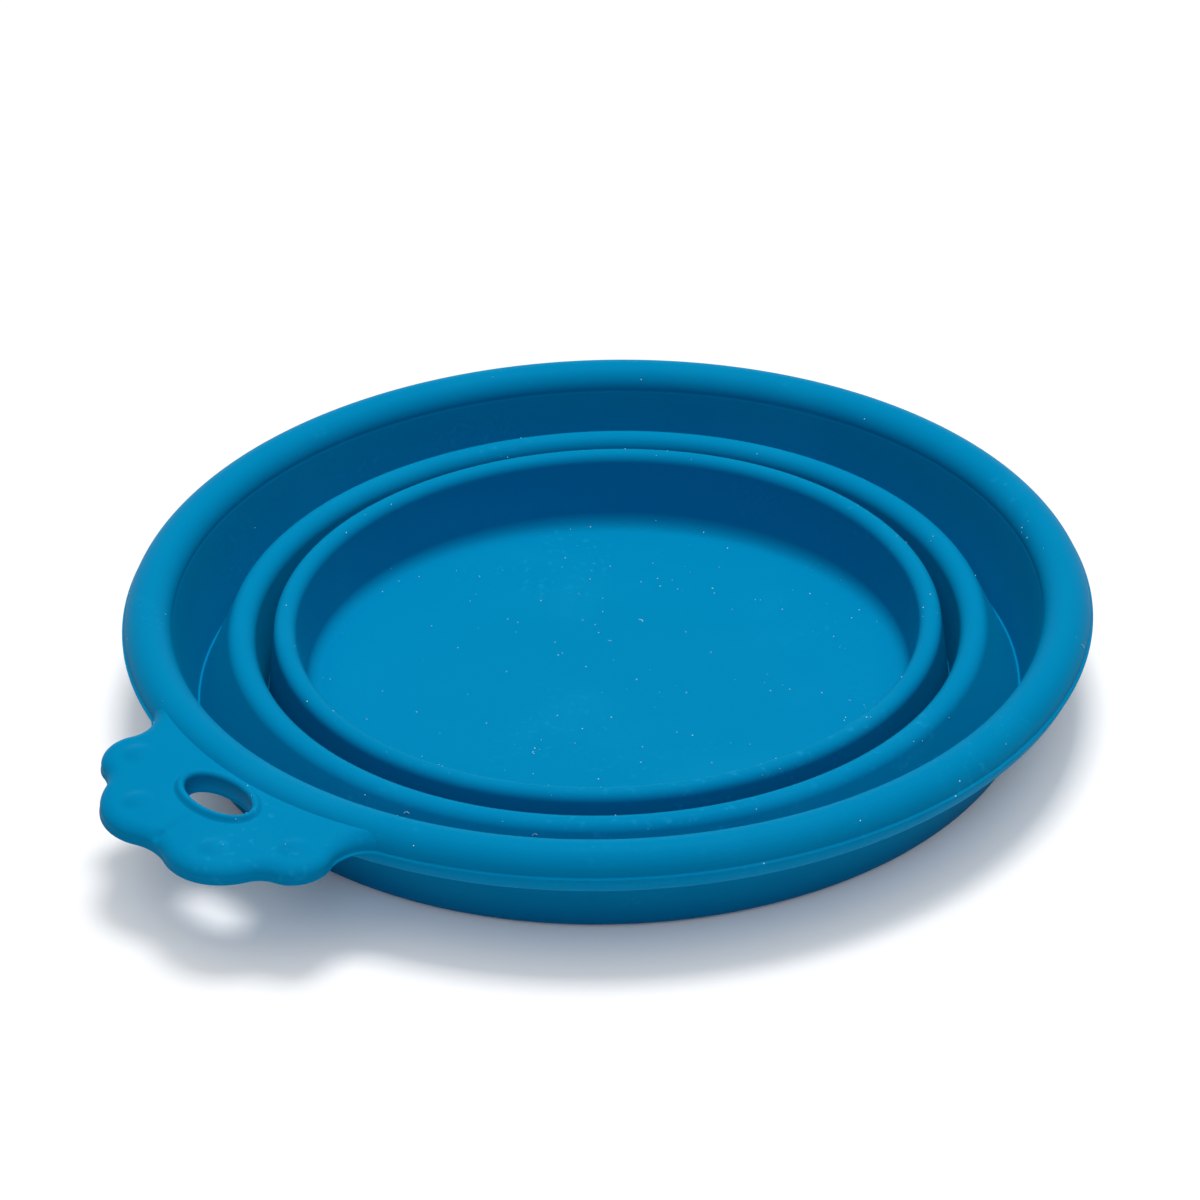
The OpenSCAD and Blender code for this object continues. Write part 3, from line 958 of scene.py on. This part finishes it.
@dataclass
class RimBand:
    """The outer shell: fold, wall and rolled rim with its parting line, in millimetres."""

    dressing: Dressing
    mouth_d: float = 130.0
    fold_h: float = 16.5
    bead_d: float = 6.4
    parting_out: float = 0.3
    parting_root: float = 0.7
    parting_tip: float = 0.2
    under_fillet: float = 0.8
    neck: float = 1.1
    wall_t: float = 2.2
    groove_w: float = 0.8
    groove_t: float = 0.03
    groove_steps: int = 8
    fold: Fold = Fold(
        crease_r=55.5, crease_t=1.2, heel_r=2.5, tuck_r=0.8, heel_in=0.9, lift=0.0, crease_round=0.18
    )
    steps: int = 24

    @property
    def bead(self) -> Circle:
        """The rim's roll, with its middle on the parting line."""
        r = self.bead_d / 2
        return Circle(self.mouth_d / 2 - self.parting_out - r, self.fold_h - r, r)

    @property
    def seat_z(self) -> float:
        """Height at which the rim sits on the wall."""
        return self.bead.y - self.bead.r - self.neck

    @property
    def wall_in(self) -> Point:
        """Where the wall's open side runs into the roll."""
        return self.bead.touch(self.fold.crease, Side.RIGHT)

    @property
    def wall_out(self) -> Point:
        """Upper point of the wall's outside."""
        return at_height(self.fold.crease, self.wall_in, self.bead.y - self.bead.r) + at(self.wall_t, 0)

    @property
    def wall_out_low(self) -> Point:
        """Lower point of the wall's outside."""
        return self.fold.heel.touch(self.wall_out, Side.RIGHT)

    def outer_r(self, z: float) -> float:
        """Finds the radius of the rim's outside.

        Args:
            z: A height at or above the parting line.

        Returns:
            The radius at that height.
        """
        roll = self.bead.x + math.sqrt(self.bead.r**2 - (z - self.bead.y) ** 2)
        slope = (self.parting_root / 2 - (z - self.bead.y)) / (self.parting_root / 2 - self.parting_tip / 2)
        return roll + (self.mouth_d / 2 - roll) * min(1.0, slope) if slope > 0 else roll

    def under_round(self) -> Circle:
        """Fits the fillet between the roll's underside and the wall's outside.

        Returns:
            The circle that touches both.
        """
        low, high, f = self.wall_out_low, self.wall_out, self.under_fillet
        ahead = (high - low) / np.linalg.norm(high - low)
        out = at(ahead[1], -ahead[0])
        from_bead = high + f * out - self.bead.middle
        along = float(from_bead @ ahead)
        back = along + math.sqrt(along**2 - float(from_bead @ from_bead) + (self.bead.r + f) ** 2)
        middle = high + f * out - ahead * back
        return Circle(middle[0], middle[1], f)

    def wall_section(self) -> list[Point]:
        """Draws the wall between the fold and the rim.

        Returns:
            The closed outline.
        """
        cut = self.fold.cut(self.wall_out)
        return [
            at_height(self.fold.crease, self.wall_in, cut),
            at_height(self.fold.crease, self.wall_in, self.seat_z),
            at_height(self.wall_out_low, self.wall_out, self.seat_z),
            self.wall_out_low,
        ]

    def rim_section(self) -> list[Point]:
        """Draws the rolled rim with a faint groove above the wall, its parting line and its fillet.

        Returns:
            The closed outline.
        """
        bead, fillet, steps = self.bead, self.under_round(), self.steps
        parting = math.degrees(math.asin(self.parting_root / self.bead_d))
        start = bead.touch_angle(self.fold.crease, Side.RIGHT) + 360
        lean = math.degrees(math.atan2(*(self.wall_out - self.wall_out_low)))
        along = (self.wall_in - self.fold.crease) / np.linalg.norm(self.wall_in - self.fold.crease)
        across = at(along[1], -along[0])
        groove = []
        for share in np.linspace(0, 1, self.groove_steps, endpoint=False):
            depth = self.groove_t * math.sin(math.pi * share) ** 2
            groove.append(self.wall_in + along * self.groove_w * (share - 1) + across * depth)
        return [
            at_height(self.fold.crease, self.wall_in, self.seat_z),
            *groove,
            *bead.arc(start, parting, 3 * steps),
            at(self.mouth_d / 2, bead.y + self.parting_tip / 2),
            at(self.mouth_d / 2, bead.y - self.parting_tip / 2),
            *bead.arc(-parting, bearing(bead.middle, fillet.middle), steps, last=False),
            *fillet.arc(bearing(fillet.middle, bead.middle), 180 - lean, steps // 2),
            at_height(self.wall_out_low, self.wall_out, self.seat_z),
        ]

    def build(self, middle: MiddleBand) -> Pieces:
        """Makes the outer shell's rings.

        Args:
            middle: The middle shell, whose web runs down to this shell's fold.

        Returns:
            The rings.
        """
        dressing = self.dressing
        web_out = middle.ridge.web_foot(self.fold.crease)
        fold = self.fold.section(self.wall_in, self.wall_out, web_out, web_out - at(middle.web_t, 0))
        return [
            dressing.ring("outer_fold", fold, Shell.RIM),
            dressing.ring("outer_wall", self.wall_section(), Shell.RIM),
            dressing.ring("rim_bead", self.rim_section(), Shell.RIM),
        ]


@dataclass
class HangTab:
    """The scalloped tab with its eyelet lip and raised dots, in millimetres.

    It is drawn as [side, distance from the bowl's axis] with its tip towards +Y, and turned to -Y.
    """

    dressing: Dressing
    rim: RimBand
    thickness: float = 2.26
    edge_round: float = 1.45
    edge_inset: float = 2.0
    nick_w: float = 0.9
    nick_h: float = 0.45
    parting_out: float = 0.12
    droop_deg: float = 4.0
    end_lobe_out: float = 6.65
    end_lobe_side: float = 6.0
    end_lobe_r: float = 8.85
    side_lobe_out: float = 4.1
    side_lobe_side: float = 15.55
    side_lobe_r: float = 4.6
    tip_notch_r: float = 8.2
    side_notch_r: float = 4.45
    root_r: float = 4.55
    root_heel: float = 0.05
    dot_d: float = 5.0
    dot_h: float = 0.5
    dots: tuple[tuple[float, float], ...] = ((7.5, 10.65), (15.3, 4.15))
    eyelet_out: float = 3.55
    eyelet_w: float = 5.5
    eyelet_l: float = 11.4
    lip_w: float = 1.5
    lip_h: float = 0.62
    flash_w: float = 0.16
    flash_h: float = 0.25
    flash_edge: float = 0.1
    rounds: int = 3
    lobe_steps: int = 28
    edge_steps: int = 14
    hole_steps: int = 160

    def __post_init__(self) -> None:
        """Works out the circles that the outline runs along, and where the droop begins."""
        edge = self.rim.bead.x + self.rim.bead.r
        self.rim_r = edge
        self.low = self.rim.bead.y
        self.top = self.low + self.thickness
        self.end_lobe = Circle(self.end_lobe_side, edge + self.end_lobe_out, self.end_lobe_r)
        self.side_lobe = Circle(self.side_lobe_side, edge + self.side_lobe_out, self.side_lobe_r)
        reach = math.sqrt((self.end_lobe_r + self.tip_notch_r) ** 2 - self.end_lobe_side**2)
        self.tip_notch = Circle(0.0, self.end_lobe.y + reach, self.tip_notch_r)
        middle = self.side_lobe.grown(self.side_notch_r).beside(self.end_lobe.grown(self.side_notch_r))
        self.side_notch = Circle(middle[0], middle[1], self.side_notch_r)
        self.eyelet = at(0.0, edge + self.eyelet_out)
        self.fall = math.tan(math.radians(self.droop_deg))
        self.foot_y = float(self._root(-self.rim.parting_out, self.low)[1][1])

    def droop(self, z: float, y: float) -> float:
        """Height to which the droop brings a point at height z and distance y along the tab."""
        return z - self.fall * (y - self.foot_y)

    def placed(self, point: Point, z: float) -> Vector:
        """A point of level z of the tab, drooped, turned to -Y and in metres."""
        return Vector((-point[0], -point[1], self.droop(z, point[1]))) * MM

    def _root(self, inset: float, z: float) -> tuple[list[Point], Point]:
        """Draws the fillet that runs tangent from the side lobe to the rim.

        Args:
            inset: How far the outline is drawn in.
            z: Height at which the fillet meets the rim.

        Returns:
            The points of its arc and the last of them, where it meets the rim.
        """
        rim = self.rim.outer_r(z)
        middle = Circle(0.0, 0.0, rim + self.root_r).beside(self.side_lobe.grown(self.root_r - inset))
        root = Circle(middle[0], middle[1], self.root_r)
        length, reach = float(np.linalg.norm(middle)), rim + self.root_heel
        share = (length**2 + self.root_r**2 - reach**2) / (2 * length * self.root_r)
        start = bearing(middle, self.side_lobe.middle)
        end = near(start, bearing(middle, at(0, 0)) - math.degrees(math.acos(min(1.0, share))))
        points = root.arc(start, end, self.lobe_steps)
        return points, points[-1]

    def _drooped_root(self, inset: float, z: float) -> list[Point]:
        """Draws the same fillet for a level of the drooping tab.

        Args:
            inset: How far the outline is drawn in.
            z: The level, before the droop.

        Returns:
            The points of its arc.
        """
        foot = z
        for _ in range(self.rounds):
            foot = self.droop(z, self._root(inset, foot)[1][1])
        return self._root(inset, foot)[0]

    def _seat(self, angle: float, z: float) -> Point:
        """Finds where the tab meets the rim.

        Args:
            angle: Angle round the bowl's axis, in degrees.
            z: A level of the tab, before the droop.

        Returns:
            The point of the rim at that angle and level.
        """
        ahead = at(math.cos(math.radians(angle)), math.sin(math.radians(angle)))
        r = self.rim.outer_r(z)
        for _ in range(self.rounds):
            r = self.rim.outer_r(self.droop(z, r * ahead[1]))
        return r * ahead

    def _lobe(self, circle: Circle, start: Point, end: Point) -> list[Point]:
        """Arc of the outline round a circle, from where it faces start to where it faces end."""
        angle = bearing(circle.middle, start)
        return circle.arc(angle, near(angle, bearing(circle.middle, end)), self.lobe_steps, last=False)

    def _half(self, inset: float, z: float) -> list[Point]:
        """Draws the right half of an outline, from the tip's notch to the rim.

        Args:
            inset: How far it is drawn in.
            z: Its level, before the droop.

        Returns:
            The points.
        """
        root = self._drooped_root(inset, z)
        side, tip = self.side_lobe, self.tip_notch.grown(inset)
        start = bearing(side.middle, self.side_notch.middle)
        end = near(start, bearing(side.middle, root[0]))
        return [
            *tip.arc(-90, bearing(tip.middle, self.end_lobe.middle), self.lobe_steps, last=False),
            *self._lobe(self.end_lobe.grown(-inset), tip.middle, self.side_notch.middle),
            *self._lobe(self.side_notch.grown(inset), self.end_lobe.middle, side.middle),
            *side.grown(-inset).arc(start, end, self.lobe_steps, last=False),
            *root,
        ]

    def outline(self, inset: float, z: float) -> list[Vector]:
        """Draws the whole outline of a level, closed along the rim.

        Args:
            inset: How far it is drawn in.
            z: Its level, before the droop.

        Returns:
            The points, in their places.
        """
        right = self._half(inset, z)
        corner = bearing(at(0, 0), right[-1])
        seat = [self._seat(angle, z) for angle in np.linspace(corner, 180 - corner, 3 * self.lobe_steps)]
        left = [at(-p[0], p[1]) for p in right[:0:-1]]
        return [self.placed(p, z) for p in [*right, *seat, *left]]

    def _nicked(self, outline: list[Vector], inset: float) -> list[Vector]:
        """Presses the small nick of the tip's notch into the rounded part of an outline.

        Args:
            outline: The outline, in its place. It is changed.
            inset: How far it is drawn in.

        Returns:
            The same outline.
        """
        depth = self.nick_h * math.sin(math.pi * max(0.0, inset) / self.edge_inset)
        for point in outline:
            if point.y < -self.end_lobe.y * MM:
                point.z -= depth * max(0.0, 1 - abs(point.x) / MM / self.nick_w) * MM
        return outline

    def hole(self, out: float, z: float) -> list[Vector]:
        """Draws a ring of points round the eyelet.

        Args:
            out: How far it lies from the eyelet's edge.
            z: Its level, before the droop.

        Returns:
            The points, in their places.
        """
        points = []
        a, b = self.eyelet_l / 2, self.eyelet_w / 2
        for i in range(self.hole_steps):
            turn = math.tau * i / self.hole_steps
            normal = at(b * math.cos(turn), a * math.sin(turn))
            edge = self.eyelet + at(a * math.cos(turn), b * math.sin(turn))
            points.append(self.placed(edge + normal * out / np.linalg.norm(normal), z))
        return points

    def tab_mesh(self) -> bpy.types.Mesh:
        """Builds the tab with its parting line, its rounded upper edge and the thin flash in its eyelet.

        Returns:
            The closed skin.
        """
        rim = self.rim
        levels = [
            (-self.parting_out, self.low),
            (-self.parting_out, self.low + rim.parting_tip / 2),
            (0.0, self.low + rim.parting_root / 2),
        ]
        for i in range(self.edge_steps + 1):
            turn = math.pi / 2 * i / self.edge_steps
            inset = self.edge_inset * (1 - math.cos(turn))
            levels.append((inset, self.top - self.edge_round * (1 - math.sin(turn))))
        walls = [
            (-self.flash_w, self.low),
            (-self.flash_w, self.low + self.flash_edge),
            (0.0, self.low + self.flash_h),
            (0.0, self.top),
        ]
        work = bmesh.new()
        outer = [ring_of(work, self._nicked(self.outline(inset, z), inset)) for inset, z in levels]
        inner = [ring_of(work, self.hole(out, z)) for out, z in walls]
        for rings in (outer, inner):
            for below, above in zip(rings, rings[1:]):
                bridge(work, below, above)
        for rings in ((outer[0], inner[0]), (outer[-1], inner[-1])):
            edges = [edge_of(work, ring[i - 1], ring[i]) for ring in rings for i in range(len(ring))]
            bmesh.ops.triangle_fill(work, use_beauty=True, use_dissolve=False, edges=edges)
        return mesh_of(work, "hang_tab")

    def lip_mesh(self) -> bpy.types.Mesh:
        """Builds the lip round the eyelet, rounded towards the hole and easing into the tab.

        Returns:
            The closed skin.
        """
        shares = np.linspace(0, 1, self.edge_steps + 1)
        ramp = [
            (self.lip_h + (self.lip_w - self.lip_h) * share, self.lip_h * (1 + math.cos(math.pi * share)) / 2)
            for share in shares[:0:-1]
        ]
        round_ = [
            (self.lip_h * (1 - math.sin(math.pi / 2 * share)), self.lip_h * math.cos(math.pi / 2 * share))
            for share in shares
        ]
        work = bmesh.new()
        rings = [ring_of(work, self.hole(out, self.top + rise)) for out, rise in [*ramp, *round_]]
        for i, below in enumerate(rings):
            bridge(work, below, rings[(i + 1) % len(rings)])
        return mesh_of(work, "eyelet_lip")

    def dots_mesh(self) -> bpy.types.Mesh:
        """Builds four soft swellings whose edges run out into the tab.

        Returns:
            Their closed skins, as one mesh.
        """
        steps, turns = self.edge_steps, 2 * self.lobe_steps
        work = bmesh.new()
        for middle in [at(side * across, self.rim_r + out) for side in (-1, 1) for across, out in self.dots]:
            rings = []
            for share in np.linspace(1, 0, steps, endpoint=False):
                swelling = Circle(middle[0], middle[1], share * self.dot_d / 2)
                rise = self.dot_h * (1 + math.cos(math.pi * share)) / 2
                points = swelling.arc(0, 360, turns, last=False)
                rings.append(ring_of(work, [self.placed(p, self.top + rise) for p in points]))
            for below, above in zip(rings, rings[1:]):
                bridge(work, below, above)
            crown = work.verts.new(self.placed(middle, self.top + self.dot_h))
            for i in range(turns):
                work.faces.new((rings[-1][i - 1], rings[-1][i], crown))
            work.faces.new(rings[0])
        return mesh_of(work, "tab_dots")

    def build(self) -> Pieces:
        """Makes the tab, its lip and its dots.

        Returns:
            The pieces.
        """
        pieces = []
        for node, mesh in (
            ("hang_tab", self.tab_mesh()),
            ("eyelet_lip", self.lip_mesh()),
            ("tab_dots", self.dots_mesh()),
        ):
            mesh.materials.append(self.dressing.silicone)
            pieces.append(self.dressing.fit(finished(mesh, node), node, Shell.RIM))
        return pieces


def ring_of(work: bmesh.types.BMesh, points: list[Vector]) -> Ring:
    """Adds a ring of vertices to a mesh and returns it."""
    return [work.verts.new(point) for point in points]


def edge_of(work: bmesh.types.BMesh, a: bmesh.types.BMVert, b: bmesh.types.BMVert) -> bmesh.types.BMEdge:
    """Finds or makes the edge between two vertices."""
    return work.edges.get((a, b)) or work.edges.new((a, b))


def bridge(work: bmesh.types.BMesh, below: Ring, above: Ring) -> None:
    """Joins two rings of as many vertices with a band of faces."""
    for i in range(len(below)):
        work.faces.new((below[i - 1], below[i], above[i], above[i - 1]))


def mesh_of(work: bmesh.types.BMesh, name: str) -> bpy.types.Mesh:
    """Turns a working mesh into a mesh and frees it.

    Args:
        work: The working mesh.
        name: Name of the new mesh.

    Returns:
        The mesh.
    """
    mesh = bpy.data.meshes.new(name)
    work.to_mesh(mesh)
    work.free()
    return mesh


def seen_directly(nodes: Nodes) -> bpy.types.NodeSocket:
    """Tells what is seen from what only lights.

    Args:
        nodes: The material's or the world's nodes.

    Returns:
        A socket that is 1 for the camera, a reflection or a refraction, and 0 for the rest.
    """
    path = nodes.add("ShaderNodeLightPath").outputs
    seen = nodes.math("MAXIMUM", path["Is Camera Ray"], path["Is Glossy Ray"])
    return nodes.math("MAXIMUM", seen, path["Is Transmission Ray"])


@dataclass(frozen=True)
class SoftLamp:
    """A square soft lamp that faces the bowl, in watts and metres."""

    name: str
    power: float
    size: float
    place: Triple
    colour: Triple

    def hang(self) -> bpy.types.Object:
        """Makes the lamp and turns it to the bowl.

        Returns:
            The lamp.
        """
        data = bpy.data.lights.new(self.name, "AREA")
        data.shape, data.size, data.energy, data.color = "SQUARE", self.size, self.power, self.colour
        lamp = bpy.data.objects.new(self.name, data)
        lamp.location = Vector(self.place)
        lamp.rotation_euler = (-lamp.location).to_track_quat("-Z", "Y").to_euler()
        bpy.context.scene.collection.objects.link(lamp)
        return lamp


@dataclass
class Studio:
    """Floor, soft lights, world and the camera at the photograph's angle, in metres and degrees."""

    heading: float = -43.35
    elevation: float = 32.58
    distance: float = 0.6802
    roll: float = 1.35
    tilt_up: float = 1.007
    turn_left: float = 0.103
    lens: float = 150.39
    sensor: float = 36.0
    clip: tuple[float, float] = (0.01, 50.0)
    floor_size: float = 6.0
    floor_drop: float = 0.00002
    floor_colour: Colour = (1.0, 0.975, 0.955, 1.0)
    # Painted floor glow, plus the reach and rays of the ambient occlusion that dims it into a painted contact
    # shade near the bowl.
    floor_painted_glow: float = 0.68
    painted_shade_reach: float = 0.045
    painted_shade_rays: int = 2
    sky: float = 0.04
    sky_colour: Colour = (0.48, 0.72, 1.0, 1.0)
    lamps: tuple[SoftLamp, ...] = (
        SoftLamp("key", power=11.4, size=0.4, place=(-0.14, 0.225, 1.12), colour=(1.0, 1.0, 1.0)),
        SoftLamp("roof", power=4.2, size=1.5, place=(-0.05, 0.05, 1.0), colour=(0.97, 0.99, 1.0)),
        SoftLamp("fill", power=2.7, size=0.6, place=(0.67, -0.63, 0.77), colour=(0.48, 0.68, 1.0)),
    )

    def camera(self) -> bpy.types.Object:
        """Places the camera and makes it the scene's camera.

        Returns:
            The camera.
        """
        data = bpy.data.cameras.new("camera")
        data.sensor_width, data.lens = self.sensor, self.lens
        data.sensor_fit = "HORIZONTAL"
        data.clip_start, data.clip_end = self.clip
        turn, rise = math.radians(self.heading), math.radians(self.elevation)
        place = Vector((math.cos(rise) * math.cos(turn), math.cos(rise) * math.sin(turn), math.sin(rise)))
        look = (-place).to_track_quat("-Z", "Y").to_matrix().to_4x4()
        aim = Matrix.Rotation(math.radians(-self.roll), 4, "Z")
        aim = aim @ Matrix.Rotation(math.radians(self.turn_left), 4, "Y")
        aim = aim @ Matrix.Rotation(math.radians(self.tilt_up), 4, "X")
        camera = bpy.data.objects.new("camera", data)
        camera.matrix_world = Matrix.Translation(place * self.distance) @ look @ aim
        bpy.context.scene.collection.objects.link(camera)
        bpy.context.scene.camera = camera
        return camera

    def floor(self) -> bpy.types.Object:
        """Lays the plain white floor just under the bowl.

        A white glow that only the camera and reflections see brightens it. This is painted light, which also
        lightens the bowl's cast shadow. Ambient occlusion weakens the glow where the bowl closes it in, which
        paints a contact shade round the bowl's foot and under the tab.

        Returns:
            The floor.
        """
        half = self.floor_size / 2
        mesh = bpy.data.meshes.new("floor")
        corners = [(-half, -half), (half, -half), (half, half), (-half, half)]
        mesh.from_pydata([(x, y, -self.floor_drop) for x, y in corners], [], [(0, 1, 2, 3)])
        material = bpy.data.materials.new("floor")
        shader = shader_of(material)
        nodes = Nodes(material.node_tree)
        nodes.feed(shader.inputs["Base Color"], self.floor_colour)
        nodes.feed(shader.inputs["Roughness"], 1.0)
        nodes.feed(shader.inputs["Specular IOR Level"], 0.0)
        # Painted light: a white glow seen only by the camera and reflections, dimmed by ambient occlusion
        # into a painted contact shade next to the bowl.
        white = nodes.add("ShaderNodeEmission", {"Color": WHITE, "Strength": 1.0})
        fed = {"Distance": self.painted_shade_reach}
        painted_shade_ao = nodes.add("ShaderNodeAmbientOcclusion", fed, samples=self.painted_shade_rays).outputs["AO"]
        lift = nodes.math("MULTIPLY", painted_shade_ao, self.floor_painted_glow)
        share = nodes.math("MULTIPLY", seen_directly(nodes), lift)
        mix = nodes.add("ShaderNodeMixShader", {0: share, 1: shader.outputs[0], 2: white.outputs[0]})
        nodes.feed(material.node_tree.nodes["Material Output"].inputs["Surface"], mix.outputs[0])
        mesh.materials.append(material)
        floor = bpy.data.objects.new("floor", mesh)
        bpy.context.scene.collection.objects.link(floor)
        return floor

    def lights(self) -> None:
        """Hangs the soft lamps and sets the sky, white where the camera or a reflection sees it."""
        for lamp in self.lamps:
            lamp.hang()
        world = bpy.data.worlds.new("sky")
        bpy.context.scene.world = world
        world.use_nodes = True
        nodes = Nodes(world.node_tree)
        background = world.node_tree.nodes["Background"]
        seen = seen_directly(nodes)
        strength = nodes.math("ADD", self.sky, nodes.math("MULTIPLY", seen, 1 - self.sky))
        nodes.feed(background.inputs["Strength"], strength)
        nodes.feed(background.inputs["Color"], nodes.mix(seen, self.sky_colour, WHITE))

    def build(self) -> None:
        """Sets up the whole studio."""
        bpy.context.scene.view_settings.view_transform = "Standard"
        self.camera()
        self.floor()
        self.lights()
        log.info("studio: camera %.1f degrees up, %.0f mm away", self.elevation, self.distance / MM)


def main() -> None:
    """Builds the studio and the bowl from the middle outwards."""
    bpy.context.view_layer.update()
    Studio().build()
    dressing = Dressing(TurnedRing(), SiliconeFinish().material())
    cup, middle, rim = Cup(dressing), MiddleBand(dressing), RimBand(dressing)
    lint = Lint(LintFinish().material())
    lint.strew(Shell.BASE, cup.build(middle.fold, middle.wall_out)[:3], seed=4, share=1.0)
    lint.strew(Shell.MIDDLE, middle.build(cup, rim.fold, rim.wall_out)[:3], seed=9, share=0.4)
    lint.strew(Shell.RIM, [*rim.build(middle), *HangTab(dressing, rim).build()], seed=5, share=0.3)


if __name__ == "__main__":
    main()
